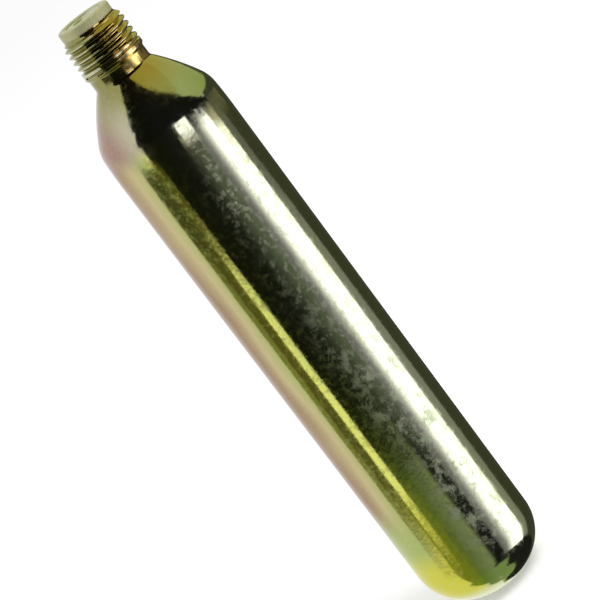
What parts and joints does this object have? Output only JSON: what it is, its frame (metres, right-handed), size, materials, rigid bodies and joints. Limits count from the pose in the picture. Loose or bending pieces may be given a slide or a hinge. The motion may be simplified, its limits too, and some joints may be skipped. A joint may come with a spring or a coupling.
{
  "type": "carbon dioxide cartridge",
  "caption": "Slim sealed steel gas bottle with a round base, a domed shoulder and a threaded neck closed by a pierceable disc.",
  "frame": {"origin": "middle of the base's small flat, on which the cartridge stands", "axes": "+Z along the cartridge's axis, from the base to the neck; +X and +Y across it, alike, because the body is turned"},
  "size_m": [0.0254, 0.0254, 0.1345],
  "materials": {
    "plated_steel": "bright zinc plate with a yellow chromate passivation, glossy, faintly iridescent from gold to green and pink",
    "welded_steel": "stamped steel disc, welded into the mouth and plated with the bottle, duller and paler than the wall"
  },
  "bodies": {
    "root": {"bottle": "plated_steel", "seal_cap": "welded_steel"}
  },
  "joints": []
}
